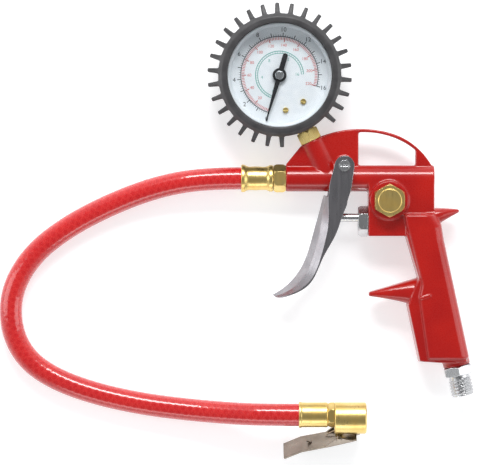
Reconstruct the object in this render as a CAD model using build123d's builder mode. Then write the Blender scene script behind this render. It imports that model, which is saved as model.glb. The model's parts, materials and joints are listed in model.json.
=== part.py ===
from build123d import *
import math
import os

# Tyre inflator with gauge, lying on its side. Millimetres.
# +X runs along the barrel from the hose towards the grip, +Y runs from the grip up to the gauge,
# +Z stands up from the surface. The origin is under the middle of the gun and gauge.

os.makedirs("parts", exist_ok=True)

# ---- driving dimensions -------------------------------------------------------------------
mid = 12.0  # height of the gun's middle plane

barrel_y = 12.6
barrel_r = 7.4
barrel_front_x = -31.4
body_rear_x = 51.5

web_half = 3.6
block_half = 7.5
grip_half = 12.0
flange_half = 9.6

gauge_x, gauge_y = -35.0, 70.2
stem_angle = -64.0  # direction from the dial centre to the gauge boss
boss_start = 40.8  # distance from the dial centre to the boss's end face
boss_r = 6.6

plug_x, plug_y = 26.1, 0.5
plug_boss_r = 11.2
plug_boss_half = 9.9
nut_x, nut_y = 14.4, -11.4  # gland nut's seat on the valve block
rod_y = -9.4
rod_r = 2.4

pivot_x, pivot_y = 1.1, 19.9
pivot_r = 2.0
running = 0.05  # radial clearance of a running fit

grip_lean = 12.4  # degrees the grip leans away from square to the barrel
inlet_x, inlet_y = 64.6, -92.4  # where the inlet's collar meets the grip
inlet_r = 6.58  # 1/4 inch pipe thread, 13.16 mm across

hose_r = 6.3
hose_bore_r = 4.0
barb_r = 3.9
ferrule_r = 7.8
gun_ferrule_x = -56.4
chuck_ferrule_x = -24.2
chuck_line_y, chuck_line_z = -119.4, 19.5  # axis of the far ferrule

clip_roll = 30.0  # degrees the clip is rolled from -Y towards the surface
chuck_shift = 2.2  # chuck body's axis off the ferrule's axis, towards the clip
chuck_r = 8.8


def axis_plane(start, direction):
    """A plane square to direction at start, with its x along +Z."""
    return Plane(origin=start, x_dir=(0, 0, 1), z_dir=direction)


def turned(plane, steps, mode=Mode.ADD):
    """Coaxial cylinders: each step is radius, start and end along the plane's normal."""
    for radius, start, end in steps:
        with Locations(plane.offset(start)):
            Cylinder(radius, end - start, align=(Align.CENTER, Align.CENTER, Align.MIN), mode=mode)


def bored(plane, steps):
    """Cuts coaxial holes, in the same form as turned."""
    turned(plane, steps, Mode.SUBTRACT)


def hexagon(plane, flats, height, turn=0.0, front=True, back=True):
    """A hexagonal prism standing on the plane, its corners turned down to a cone at the ends named."""
    corner = flats / math.sqrt(3)
    cut = corner - 0.47 * flats
    with BuildPart() as envelope:
        turned(plane, [(corner, 0, height)])
        rims = envelope.edges().filter_by(GeomType.CIRCLE)
        far = [rim for rim in rims if plane.to_local_coords(rim.center()).Z > height / 2]
        near = [rim for rim in rims if plane.to_local_coords(rim.center()).Z < height / 2]
        for chosen, wanted in ((far, front), (near, back)):
            if wanted:
                end = envelope.faces().filter_by(GeomType.PLANE).sort_by_distance(chosen[0].center())[0]
                chamfer(chosen, length=cut * 0.5, length2=cut, reference=end)
    with BuildPart() as prism:
        with BuildSketch(plane):
            RegularPolygon(flats / 2, 6, major_radius=False, rotation=turn)
        extrude(amount=height)
        add(envelope.part, mode=Mode.INTERSECT)
    return prism.part


def save(part, label):
    """Labels one finished piece and writes its STEP."""
    part.label = label
    export_step(part, f"parts/{label}.step")


mid_plane = Plane.XY.offset(mid)
barrel_plane = axis_plane((barrel_front_x, barrel_y, mid), (1, 0, 0))
stem_dir = (math.cos(math.radians(stem_angle)), math.sin(math.radians(stem_angle)), 0)
stem_plane = axis_plane((gauge_x, gauge_y, mid), stem_dir)
valve_plane = axis_plane((nut_x, nut_y, mid), (1, 0, 0))
rod_plane = axis_plane((nut_x, rod_y, mid), (1, 0, 0))
plug_plane = Plane(origin=(plug_x, plug_y, mid + plug_boss_half))
lean = math.radians(grip_lean)
inlet_plane = axis_plane((inlet_x, inlet_y, mid), (math.sin(lean), -math.cos(lean), 0))

# ---- gun body ------------------------------------------------------------------------------
boss_end = (gauge_x + boss_start * stem_dir[0], gauge_y + boss_start * stem_dir[1])
boss_side = (-stem_dir[1] * boss_r, stem_dir[0] * boss_r)

with BuildSketch() as arch:
    with BuildLine():
        low = Line((body_rear_x, barrel_y), (barrel_front_x, barrel_y))
        nose = Line(low @ 1, (barrel_front_x, barrel_y + barrel_r + 0.4))
        shoulder = Line(nose @ 1, (boss_end[0] - boss_side[0], boss_end[1] - boss_side[1]))
        seat = Line(shoulder @ 1, (boss_end[0] + boss_side[0], boss_end[1] + boss_side[1]))
        crest = ThreePointArc(seat @ 1, (7.0, 40.2), (26.0, 38.3))
        fall = TangentArc(crest @ 1, (body_rear_x, 17.0), tangent=crest % 1)
        Line(fall @ 1, low @ 0)
    make_face()

with BuildSketch() as window:
    with BuildLine():
        sill = Line((41.0, 19.7), (9.2, 19.7))
        post = Line(sill @ 1, (9.2, 38.3))
        soffit = ThreePointArc(post @ 1, (17.6, 38.1), (25.6, 36.5))
        slope = ThreePointArc(soffit @ 1, (34.2, 33.0), (41.0, 28.4))
        Line(slope @ 1, sill @ 0)
    make_face()

with BuildPart() as gun_body:
    with BuildSketch(mid_plane):
        add(arch.sketch_local)
        add(window.sketch_local, mode=Mode.SUBTRACT)
    extrude(amount=web_half, both=True)
    # barrel, gauge boss and pivot boss
    turned(barrel_plane, [(barrel_r, 0, body_rear_x - barrel_front_x)])
    turned(stem_plane, [(boss_r, boss_start, 63.0)])
    with BuildSketch(mid_plane):
        with Locations((pivot_x, pivot_y)):
            Circle(5.2)
    extrude(amount=8.2, both=True)
    # valve block, drafted towards both sides
    with BuildSketch(mid_plane):
        with BuildLine():
            Polyline(
                (nut_x, barrel_y),
                (nut_x, -19.7),
                (40.0, -19.7),
                (body_rear_x, -14.0),
                (body_rear_x, barrel_y),
                close=True,
            )
        make_face()
    extrude(amount=block_half, both=True, taper=1.5)
    with BuildSketch(mid_plane):
        with Locations((plug_x, plug_y)):
            Circle(plug_boss_r)
    extrude(amount=plug_boss_half, both=True, taper=2)

with BuildPart() as grip_panel:
    with BuildSketch(mid_plane):
        with BuildLine():
            Polyline(
                (34.4, -7.2),
                (35.6, -13.5),
                (37.6, -20.0),
                (43.9, -44.5),
                (44.2, -47.0),
                (42.8, -53.5),
                (47.8, -88.2),
                (71.2, -88.2),
                (60.2, -37.5),
                (56.6, -21.0),
                (55.4, -13.0),
                (51.5, -7.2),
                close=True,
            )
        make_face()
    extrude(amount=grip_half, both=True)
    rims = grip_panel.edges().filter_by(Plane.XY)
    back = rims.filter_by(lambda e: e.center().X > 52 and e.center().Y > -88 and e.center().Y < -9)
    fillet(back, 5.5)
    front = grip_panel.edges().filter_by(
        lambda e: abs(abs(e.center().Z - mid) - grip_half) < 0.01 and e.center().X < 62
        and (e.center().X < 50 or e.center().Y > -9 or e.center().Y < -88)
    )
    fillet(front, 1.6)

with BuildPart() as grip_core:
    with BuildSketch(mid_plane):
        with BuildLine():
            Polyline(
                (35.0, -14.0),
                (34.9, -18.8),
                (42.0, -43.0),
                (36.0, -58.0),
                (42.8, -90.2),
                (58.0, -91.2),
                (71.2, -90.2),
                (68.5, -86.0),
                (55.0, -20.0),
                (50.0, -10.0),
                close=True,
            )
        make_face()
    extrude(amount=flange_half, both=True, taper=5)

with BuildPart() as finger_guard:
    for x, top, bottom, width in [
        (47.0, -41.5, -61.0, 19.0),
        (36.2, -44.8, -57.2, 17.6),
        (26.0, -47.8, -54.9, 14.4),
        (15.0, -51.0, -53.2, 9.6),
    ]:
        with BuildSketch(axis_plane((x, (top + bottom) / 2, mid), (-1, 0, 0))):
            RectangleRounded(width, top - bottom, 0.46 * (top - bottom))
    loft()

with BuildPart() as spur:
    for x, top, bottom, width in [
        (46.0, -4.2, -18.0, 18.0),
        (56.0, -4.0, -11.6, 15.0),
        (65.4, -4.7, -6.3, 8.0),
    ]:
        with BuildSketch(axis_plane((x, (top + bottom) / 2, mid), (-1, 0, 0))):
            RectangleRounded(width, top - bottom, 0.46 * (top - bottom))
    loft()

with gun_body:
    add(grip_core.part)
    add(grip_panel.part)
    add(finger_guard.part)
    add(spur.part)
    turned(inlet_plane, [(7.6, -9.0, 0)])
    # short rib that carries the finger guard's line across the grip
    with BuildSketch(mid_plane):
        with BuildLine():
            Polyline((43.0, -53.6), (49.0, -51.8), (49.0, -53.0), (43.0, -54.8), close=True)
        make_face()
    extrude(amount=grip_half + 0.6)
    # air passages and seats
    bored(barrel_plane, [(5.0, 0, 14.0), (2.6, 14.0, 58.0)])
    bored(stem_plane, [(4.8, boss_start, boss_start + 11.0), (2.0, boss_start + 11.0, 66.0)])
    bored(plug_plane, [(6.0, -9.0, 0.0), (4.0, -16.0, -9.0)])
    bored(valve_plane, [(6.0, 0, 6.0), (5.4, 6.0, 24.0), (2.0, 24.0, 33.0)])
    bored(axis_plane((plug_x, barrel_y, mid), (0, -1, 0)), [(1.6, 0, 24.0)])
    bored(inlet_plane, [(6.5, -10.0, 0.0), (3.0, -84.0, -10.0)])
    with BuildSketch(mid_plane):
        with Locations((pivot_x, pivot_y)):
            Circle(pivot_r)
    extrude(amount=9.0, both=True, mode=Mode.SUBTRACT)
save(gun_body.part, "gun_body")

# ---- inlet ---------------------------------------------------------------------------------
collar_flats = 15.0
collar_length = 5.6
thread_start, thread_end = 6.8, 17.0

with BuildPart() as inlet_plug:
    turned(inlet_plane, [(6.45, -9.5, 0), (5.6, collar_length, thread_start)])
    add(hexagon(inlet_plane, collar_flats, collar_length))
    turned(inlet_plane, [(inlet_r, thread_start, thread_end)])
    bored(inlet_plane, [(3.4, -9.5, thread_end)])
save(inlet_plug.part, "inlet_plug")

# ---- valve ---------------------------------------------------------------------------------
nut_flats = 15.0
nut_front = -5.4  # along the valve axis from the block's face
rod_tip = -25.3  # the rod's free end, from the block's face
poppet_start = 9.6
chamber_end = 24.0

with BuildPart() as gland_nut:
    add(hexagon(valve_plane.offset(nut_front), nut_flats, -nut_front, turn=30, front=False))
    turned(valve_plane, [(5.95, 0, 6.0)])
    bored(rod_plane, [(rod_r + running, nut_front, 6.0)])
save(gland_nut.part, "gland_nut")

with BuildPart() as rod_seal:
    turned(valve_plane, [(5.35, 6.05, 7.4)])
    bored(rod_plane, [(rod_r + running, 6.05, 7.4)])
save(rod_seal.part, "rod_seal")

with BuildPart() as valve_seat:
    turned(valve_plane, [(5.35, 7.45, 9.4)])
    bored(rod_plane, [(2.9, 7.45, 9.4)])
save(valve_seat.part, "valve_seat")

with BuildPart() as push_rod:
    turned(rod_plane, [(rod_r, rod_tip, poppet_start)])
    fillet(push_rod.edges().sort_by(Axis.X)[0], 1.6)
save(push_rod.part, "push_rod")

with BuildPart() as poppet_seal:
    turned(valve_plane, [(4.9, poppet_start, poppet_start + 1.4)])
save(poppet_seal.part, "poppet_seal")

with BuildPart() as poppet:
    turned(valve_plane, [(4.9, poppet_start + 1.4, poppet_start + 3.0), (1.6, poppet_start + 3.0, 15.0)])
save(poppet.part, "poppet")


def coil_spring(coil_r, wire_r, length, turns, place):
    """A round-wire compression spring standing on the given plane."""
    with BuildPart() as spring:
        with BuildLine():
            coil = Helix(length / turns, length, coil_r)
        with BuildSketch(Plane(origin=coil @ 0, z_dir=coil % 0)):
            Circle(wire_r)
        sweep(path=coil, is_frenet=True)
    return spring.part.moved(place.location)


valve_spring = coil_spring(3.2, 0.4, 10.2, 4, valve_plane.offset(poppet_start + 3.5))
save(valve_spring, "valve_spring")

plug_flats = 16.4
washer = 0.8
with BuildPart() as valve_plug:
    add(hexagon(plug_plane.offset(washer), plug_flats, 5.8, turn=30, back=False))
    turned(plug_plane, [(6.6, washer + 5.8, washer + 6.4)])
    chamfer(valve_plug.edges().filter_by(GeomType.CIRCLE).sort_by(Axis.Z)[-1], 0.4)
    turned(plug_plane, [(5.95, -6.5, washer)])
    bored(plug_plane, [(3.2, -6.5, -0.5)])
save(valve_plug.part, "valve_plug")

with BuildPart() as plug_washer:
    turned(plug_plane, [(8.1, 0.02, washer - 0.02)])
    bored(plug_plane, [(6.05, 0, washer)])
save(plug_washer.part, "plug_washer")

with BuildPart() as check_ball:
    with Locations(plug_plane.offset(-13.1)):
        Sphere(2.7)
save(check_ball.part, "check_ball")

check_spring = coil_spring(2.4, 0.35, 9.4, 5, plug_plane.offset(-10.9))
save(check_spring, "check_spring")

# ---- trigger -------------------------------------------------------------------------------
ear_inner, ear_outer = 8.4, 9.8
sheet = ear_outer - ear_inner

# Each station: nose point, rim point, half width, how far in from the nose the side and the
# crease of the rounded front start, and the sheet's thickness.
stations = [
    ((-10.2, 3.2), (2.8, 0.0), 9.8, 2.4, 1.0, sheet),
    ((-11.9, -3.1), (0.8, -6.2), 9.8, 4.2, 1.6, sheet),
    ((-13.6, -9.5), (-1.4, -12.5), 9.8, 6.0, 2.2, sheet),
    ((-16.5, -20.0), (-5.9, -22.8), 9.8, 7.2, 3.2, sheet),
    ((-19.6, -30.5), (-11.9, -34.0), 9.6, 7.5, 3.4, sheet),
    ((-23.6, -38.8), (-16.6, -44.0), 9.0, 7.8, 3.8, sheet),
    ((-29.0, -45.6), (-23.8, -50.4), 7.8, 6.2, 3.3, sheet),
    ((-35.4, -50.7), (-31.6, -53.6), 5.4, 4.0, 2.1, 1.2),
    ((-38.8, -52.6), (-36.8, -54.0), 2.7, 1.7, 0.9, 0.8),
]


def trough(nose, rim, half, side, crease, thick):
    """One U-shaped section of the trigger, open towards the rim."""
    across = Vector(rim[0] - nose[0], rim[1] - nose[1], 0)
    depth = across.length
    place = Plane(origin=(nose[0], nose[1], mid), x_dir=across, z_dir=across.cross(Vector(0, 0, 1)))
    outer = [(depth, half), (side, half), (crease, 0.62 * half), (0, 0)]
    inner = [
        (1.25 * thick, 0),
        (crease + 0.95 * thick, 0.62 * half - 0.6 * thick),
        (side + 0.4 * thick, half - thick),
        (depth, half - thick),
    ]
    outline = outer + [(x, -y) for x, y in reversed(outer[:-1])]
    outline += [(x, -y) for x, y in reversed(inner)] + inner[1:]
    with BuildSketch(place) as section:
        with BuildLine():
            Polyline(*outline, close=True)
        make_face()
    return section.sketch


with BuildPart() as trigger:
    loft([trough(*station) for station in stations])
    with BuildSketch(mid_plane.offset(ear_inner)) as ear:
        with BuildLine():
            rear = Polyline((2.5, -1.0), (2.8, 0.0), (4.8, 6.2), (pivot_x + 5.5, pivot_y - 0.8))
            crown = ThreePointArc(rear @ 1, (pivot_x + 0.4, pivot_y + 5.5), (pivot_x - 5.3, pivot_y + 1.2))
            Polyline(crown @ 1, (-7.1, 9.5), (-7.87, 2.63), (-7.85, 1.6), rear @ 0)
        make_face()
        with Locations((pivot_x, pivot_y)):
            Circle(pivot_r + running, mode=Mode.SUBTRACT)
    extrude(amount=sheet)
    extrude(ear.sketch.moved(Location((0, 0, -ear_inner - ear_outer))), amount=sheet)
save(trigger.part, "trigger")

with BuildPart() as pivot_screw:
    turned(Plane((pivot_x, pivot_y, mid)), [(pivot_r, -11.9, 9.95), (3.1, 9.95, 11.4)])
    with Locations((pivot_x, pivot_y, mid + 11.4)):
        Box(4.6, 0.9, 1.2, mode=Mode.SUBTRACT)
save(pivot_screw.part, "pivot_screw")

with BuildPart() as pivot_nut:
    with BuildSketch(Plane((pivot_x, pivot_y, mid - 11.9))):
        RegularPolygon(3.5, 6, major_radius=False)
        Circle(pivot_r, mode=Mode.SUBTRACT)
    extrude(amount=1.95)
save(pivot_nut.part, "pivot_nut")

# ---- gauge ---------------------------------------------------------------------------------
dial_centre = Plane((gauge_x, gauge_y, 0))
boot_r, boot_inner_r, lip_r = 34.2, 31.3, 29.2
boot_back, boot_front = 2.0, 27.5
spike_tip_r = 40.2
spike_pitch = 12.0
spike_count = 27
case_r = 31.0
case_inner_r = 30.0
dial_z = 15.5
lens_z = 22.2
neck_r = 5.2
neck_step = 29.1  # where the socket's neck widens, in the case's wall
hex_start = 34.5

with BuildPart() as gauge_boot:
    turned(dial_centre, [(boot_r, 0, boot_front)])
    chamfer(gauge_boot.edges().filter_by(GeomType.CIRCLE).sort_by(Axis.Z)[-1], 2.0)
    first_spike = stem_angle + 24.0
    spike_sweep = spike_pitch * (spike_count - 1)
    with Locations(dial_centre.offset(8.6)):
        with PolarLocations(boot_r - 1.0, spike_count, first_spike, spike_sweep, endpoint=True):
            Wedge(
                2.9, spike_tip_r - boot_r + 1.0, 17.0, 0.4, 3.5, 2.5, 13.5,
                rotation=(0, 0, -90), align=(Align.CENTER, Align.MIN, Align.MIN),
            )
    bored(dial_centre, [(boot_inner_r, boot_back, 25.6), (lip_r, 25.6, boot_front)])
    bored(stem_plane, [(neck_r + 0.4, 20.0, 40.0)])
save(gauge_boot.part, "gauge_boot")

with BuildPart() as gauge_case:
    turned(dial_centre, [(case_r, 2.2, 24.0)])
    bored(dial_centre, [(case_inner_r - 1.0, 3.2, lens_z), (case_inner_r, lens_z, 24.0)])
    bored(stem_plane, [(neck_r + 0.1, 20.0, 40.0)])
save(gauge_case.part, "gauge_case")

with BuildPart() as lens:
    turned(dial_centre, [(case_inner_r - 0.05, lens_z + 0.02, 23.9)])
save(lens.part, "lens")

with BuildPart() as bezel:
    turned(dial_centre, [(case_r, 24.02, 25.5)])
    bored(dial_centre, [(28.9, 24.02, 25.5)])
save(bezel.part, "bezel")

with BuildPart() as dial_ring:
    with BuildSketch(Plane((gauge_x, gauge_y, 0), x_dir=(1, 0, 0), z_dir=(0, -1, 0))):
        Polygon((26.9, 16.15), (28.95, 16.15), (28.95, lens_z - 0.02), (28.4, lens_z - 0.02), align=None)
    revolve(axis=Axis((gauge_x, gauge_y, 0), (0, 0, 1)))
save(dial_ring.part, "dial_ring")

# the two dial screws stand either side of the stem, in the socket block
screw_r = 19.8
screw_angles = (stem_angle + 16.0, stem_angle - 16.0)


def heading(angle):
    """A level unit vector at an angle from +X."""
    return Vector(math.cos(math.radians(angle)), math.sin(math.radians(angle)), 0)


def around(radius, angle):
    """A point at radius and angle round the dial's centre, in plan."""
    return (gauge_x + radius * heading(angle).X, gauge_y + radius * heading(angle).Y)


with BuildPart() as dial:
    turned(dial_centre, [(28.9, dial_z, dial_z + 0.6)])
    bored(dial_centre, [(1.6, dial_z, dial_z + 0.6)])
    with Locations(*[(*around(screw_r, angle), dial_z + 0.3) for angle in screw_angles]):
        Cylinder(0.85, 0.6, mode=Mode.SUBTRACT)
save(dial.part, "dial")

with BuildPart() as dial_screws:
    for angle in screw_angles:
        turned(Plane((*around(screw_r, angle), 0)), [(0.8, 12.0, 16.1), (1.6, 16.1, 17.0)])
        with Locations((*around(screw_r, angle), 16.9)):
            Box(2.2, 0.4, 0.4, mode=Mode.SUBTRACT)
save(dial_screws.part, "dial_screws")

# socket: block inside the case, neck through the case and boot, hexagon, thread in the boss
tube_r, tube_thick, tube_low, tube_high = 22.0, 2.0, 6.0, 11.5
with BuildPart() as gauge_socket:
    with BuildSketch(stem_plane.offset(15.6)):
        with Locations((-1.95, 0)):
            Rectangle(10.9, 16.0)
    extrude(amount=10.4)
    turned(stem_plane, [(3.4, 25.0, neck_step), (neck_r, neck_step, hex_start)])
    add(hexagon(stem_plane.offset(hex_start), 12.0, boss_start - hex_start - 0.1))
    turned(stem_plane, [(4.75, boss_start - 0.1, boss_start + 10.0)])
    bored(stem_plane, [(1.5, 18.0, boss_start + 10.0)])
    with Locations(*[(*around(screw_r, angle), 14.0) for angle in screw_angles]):
        Cylinder(0.85, 5.0, mode=Mode.SUBTRACT)
    with Locations(dial_centre.offset(tube_low - 0.1)):
        Cylinder(tube_r + tube_thick / 2 + 0.1, tube_high - tube_low + 0.2,
                 align=(Align.CENTER, Align.CENTER, Align.MIN), mode=Mode.SUBTRACT)
save(gauge_socket.part, "gauge_socket")

tube_start = stem_angle + 22.5  # where the Bourdon tube leaves the block
tube_sweep = 213.0
with BuildPart() as bourdon_tube:
    with BuildSketch(Plane((gauge_x, gauge_y, 0), x_dir=heading(tube_start), z_dir=heading(tube_start - 90))):
        with Locations((tube_r, (tube_low + tube_high) / 2)):
            RectangleRounded(tube_thick, tube_high - tube_low, 0.9)
    revolve(axis=Axis((gauge_x, gauge_y, 0), (0, 0, 1)), revolution_arc=tube_sweep)
save(bourdon_tube.part, "bourdon_tube")

# movement: two plates on pillars, pinion on the pointer's shaft, toothed sector and its link
plate_low, plate_high = 3.6, 12.6
plate_thick = 1.0
module = 0.3
pinion_teeth, sector_full_teeth = 12, 72
pinion_shift = 180 / pinion_teeth  # half a tooth, so that the pinion's gap faces the sector's tooth
pinion_r = module * pinion_teeth / 2
sector_r = module * sector_full_teeth / 2
sector_z = 8.0
gear_thick = 1.4
movement_angle = stem_angle + 180.0  # the sector's arbor stands on the far side from the stem
sector_axis = around(pinion_r + sector_r, movement_angle)
sector_plane = Plane((*sector_axis, 0), x_dir=heading(stem_angle))
shaft_r = 0.8
link_arm = 6.0
tail_turn = 67.5  # at rest, degrees from the sector's middle line to its tail
tail = math.radians(180.0 + tail_turn)
tail_pin = sector_plane.from_local_coords(Vector(link_arm * math.cos(tail), link_arm * math.sin(tail), 0))
tail_plane = Plane((tail_pin.X, tail_pin.Y, 0), x_dir=heading(stem_angle - 23.0))
link_length = 24.0


def toothed(pitch_r, teeth, first, last):
    """Points of a run of teeth, numbered first to last, round a gear's rim."""
    pitch = 360 / teeth
    points = []
    for number in range(first, last + 1):
        for radius, shift in [(-0.36, -0.36), (0.24, -0.12), (0.24, 0.12), (-0.36, 0.36)]:
            turn = math.radians((number + shift) * pitch)
            reach = pitch_r + radius
            points.append((reach * math.cos(turn), reach * math.sin(turn)))
    return points


with BuildPart() as movement_back_plate:
    with BuildSketch(sector_plane.offset(plate_low)):
        with Locations((13.0, 0)):
            RectangleRounded(35.4, 12.0, 2.0)
        with Locations((0, 0), (pinion_r + sector_r, 0)):
            Circle(shaft_r + running, mode=Mode.SUBTRACT)
    extrude(amount=plate_thick)
save(movement_back_plate.part, "movement_back_plate")

with BuildPart() as movement_front_plate:
    with BuildSketch(sector_plane.offset(plate_high - plate_thick)):
        with Locations((6.3, 0)):
            RectangleRounded(22.0, 12.0, 2.0)
        with Locations((0, 0), (pinion_r + sector_r, 0)):
            Circle(shaft_r + running, mode=Mode.SUBTRACT)
    extrude(amount=plate_thick)
save(movement_front_plate.part, "movement_front_plate")

with BuildPart() as movement_pillars:
    with Locations(sector_plane.offset(plate_low + plate_thick)):
        with Locations((16.0, 4.6), (16.0, -4.6)):
            Cylinder(
                1.0, plate_high - plate_low - 2 * plate_thick, align=(Align.CENTER, Align.CENTER, Align.MIN)
            )
save(movement_pillars.part, "movement_pillars")

with BuildPart() as pinion_shaft:
    turned(dial_centre, [(shaft_r, plate_low, 18.9)])
    with BuildSketch(Plane((gauge_x, gauge_y, sector_z - 0.2), x_dir=heading(stem_angle + pinion_shift))):
        with BuildLine():
            Polyline(*toothed(pinion_r, pinion_teeth, 0, pinion_teeth - 1), close=True)
        make_face()
    extrude(amount=gear_thick + 0.4)
save(pinion_shaft.part, "pinion_shaft")

with BuildPart() as sector_gear:
    with BuildSketch(sector_plane.offset(sector_z)):
        with BuildLine():
            Polyline((0, 0), *toothed(sector_r, sector_full_teeth, -10, 2), close=True)
        make_face()
        Circle(2.2)
        with PolarLocations(link_arm / 2, 1, start_angle=180.0 + tail_turn):
            Rectangle(link_arm + 2.0, 2.2)
    extrude(amount=gear_thick)
    turned(sector_plane, [(shaft_r, plate_low, plate_high)])
    turned(tail_plane, [(0.5, sector_z + gear_thick, 10.6)])
save(sector_gear.part, "sector_gear")

# the link lies along its plane's x, from the tail's pin towards the end of the Bourdon tube
with BuildPart() as link:
    with BuildSketch(tail_plane.offset(sector_z + gear_thick + 0.1)):
        with Locations((link_length / 2, 0)):
            SlotCenterToCenter(link_length, 2.0)
        Circle(0.5 + running, mode=Mode.SUBTRACT)
    extrude(amount=0.7)
save(link.part, "link")

spiral_turns, spiral_steps = 3, 20
spiral_start_r, spiral_growth = 1.4, 0.6
with BuildPart() as hairspring:
    inner, outer = [], []
    for step in range(spiral_turns * spiral_steps + 1):
        turn = 2 * math.pi * step / spiral_steps
        radius = spiral_start_r + spiral_growth * step / spiral_steps
        inner.append((radius * math.cos(turn), radius * math.sin(turn)))
        outer.append(((radius + 0.15) * math.cos(turn), (radius + 0.15) * math.sin(turn)))
    with BuildSketch(Plane((gauge_x, gauge_y, 10.2))):
        with BuildLine():
            Polyline(*inner, *reversed(outer), close=True)
        make_face()
    extrude(amount=0.8)
save(hairspring.part, "hairspring")

# pointer, drawn along its own line and turned to the scale's zero
pointer_angle = -106.3
pointer_z = 17.6
with BuildPart() as pointer:
    with BuildSketch(Plane((gauge_x, gauge_y, pointer_z), x_dir=heading(pointer_angle))):
        with BuildLine():
            Polyline((0, 1.5), (26.7, 0.25), (26.7, -0.25), (0, -1.5), close=True)
        make_face()
        with Locations((-6.0, 0)):
            SlotOverall(13.2, 2.8)
        Circle(3.9)
        Circle(shaft_r, mode=Mode.SUBTRACT)
    extrude(amount=0.7)
save(pointer.part, "pointer")

with BuildPart() as pointer_cap:
    turned(dial_centre, [(2.5, 18.9, 19.9), (1.7, 18.32, 18.9)])
    bored(dial_centre, [(shaft_r, 18.32, 18.9)])
    fillet(pointer_cap.edges().sort_by(Axis.Z)[-1], 0.6)
save(pointer_cap.part, "pointer_cap")

# ---- hose and its fittings -----------------------------------------------------------------
gun_line = axis_plane((0, barrel_y, mid), (1, 0, 0))
far_line = axis_plane((0, chuck_line_y, chuck_line_z), (1, 0, 0))
gun_hex_end = -38.2

with BuildPart() as hose_fitting:
    turned(gun_line, [(barb_r, gun_ferrule_x - 8.0, gun_hex_end), (4.95, barrel_front_x, -18.0)])
    add(hexagon(gun_line.offset(gun_hex_end), 13.6, barrel_front_x - 0.05 - gun_hex_end, turn=30))
    turned(gun_line, [(4.95, barrel_front_x - 0.05, barrel_front_x)])
    bored(gun_line, [(2.2, gun_ferrule_x - 8.0, -18.0)])
save(hose_fitting.part, "hose_fitting")


def ferrule(line, start, end, flare, waist):
    """A crimped ferrule: flared at both ends, with a waist between."""
    with BuildPart() as ring:
        place = Plane(origin=line.origin, x_dir=(1, 0, 0), z_dir=(0, 0, 1))
        with BuildSketch(place):
            with BuildLine():
                Polyline(
                    (start, barb_r + 0.05),
                    (start, flare - 0.3),
                    (start + 0.4, flare),
                    (start + 1.6, flare),
                    (start + 3.0, waist),
                    (end - 3.4, waist),
                    (end - 2.0, flare - 0.3),
                    (end, flare - 0.3),
                    (end, barb_r + 0.05),
                    close=True,
                )
            make_face()
        revolve(axis=Axis(line.origin, (1, 0, 0)))
    return ring.part


save(ferrule(gun_line, gun_ferrule_x, gun_hex_end - 0.1, ferrule_r, 6.7), "hose_ferrule")

far_hex_start, far_hex_end = -7.9, -4.3
chuck_ferrule = ferrule(far_line, chuck_ferrule_x, far_hex_start - 0.1, 7.3, 7.0)
save(chuck_ferrule, "chuck_ferrule")

with BuildPart() as chuck_fitting:
    turned(far_line, [(barb_r, chuck_ferrule_x - 8.0, far_hex_start), (4.0, far_hex_end, 1.5)])
    add(hexagon(far_line.offset(far_hex_start), 12.0, far_hex_end - far_hex_start, turn=30, front=False))
    bored(far_line, [(2.0, chuck_ferrule_x - 8.0, 1.5)])
save(chuck_fitting.part, "chuck_fitting")

hose_route = [
    (gun_ferrule_x, barrel_y, mid),
    (-78.0, barrel_y, mid),
    (-104.5, 7.6, 9.0),
    (-131.0, -2.6, 6.7),
    (-155.5, -15.6, 6.5),
    (-174.5, -31.0, 6.4),
    (-185.6, -50.5, 6.5),
    (-186.2, -71.0, 6.4),
    (-178.5, -88.0, 6.5),
    (-163.5, -99.5, 6.4),
    (-140.5, -108.3, 6.5),
    (-112.0, -114.6, 6.9),
    (-84.0, -117.8, 9.0),
    (-60.0, -119.2, 14.5),
    (-42.0, chuck_line_y, chuck_line_z),
    (chuck_ferrule_x, chuck_line_y, chuck_line_z),
]
bends = []
for before, corner, after in zip(hose_route, hose_route[1:], hose_route[2:]):
    run_in = Vector(corner) - Vector(before)
    run_out = Vector(after) - Vector(corner)
    half_turn = math.radians(run_in.get_angle(run_out)) / 2
    bends.append(0.45 * min(run_in.length, run_out.length) / math.tan(half_turn))
print("hose bend radii", [round(bend) for bend in bends])

with BuildPart() as hose:
    with BuildLine():
        line = FilletPolyline(*hose_route, radius=bends)
    with BuildSketch(Plane(origin=line @ 0, z_dir=line % 0)):
        Circle(hose_r)
        Circle(hose_bore_r, mode=Mode.SUBTRACT)
    sweep(path=line)
section = math.pi * (hose_r**2 - hose_bore_r**2)
print("hose length", round(line.length, 1), "volume over section times length",
      round(hose.part.volume / (section * line.length), 4))
save(hose.part, "hose")

# ---- clip-on chuck -------------------------------------------------------------------------
roll = math.radians(clip_roll)
toward_clip = Vector(0, -math.cos(roll), -math.sin(roll))
chuck_axis = Vector(0, chuck_line_y, chuck_line_z) + toward_clip * chuck_shift
chuck_line = axis_plane(chuck_axis, (1, 0, 0))
clip_plane = Plane(origin=chuck_axis, x_dir=(1, 0, 0), z_dir=(0, math.sin(roll), -math.cos(roll)))
chuck_start, chuck_end = -4.2, 13.6
mouth_r = 4.1
mouth_depth = 5.6
hinge_x, hinge_reach = -1.8, 10.3
hinge_r = 1.0
clip_half = 7.0
clip_sheet = 1.2
hook_half = 1.9

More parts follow.
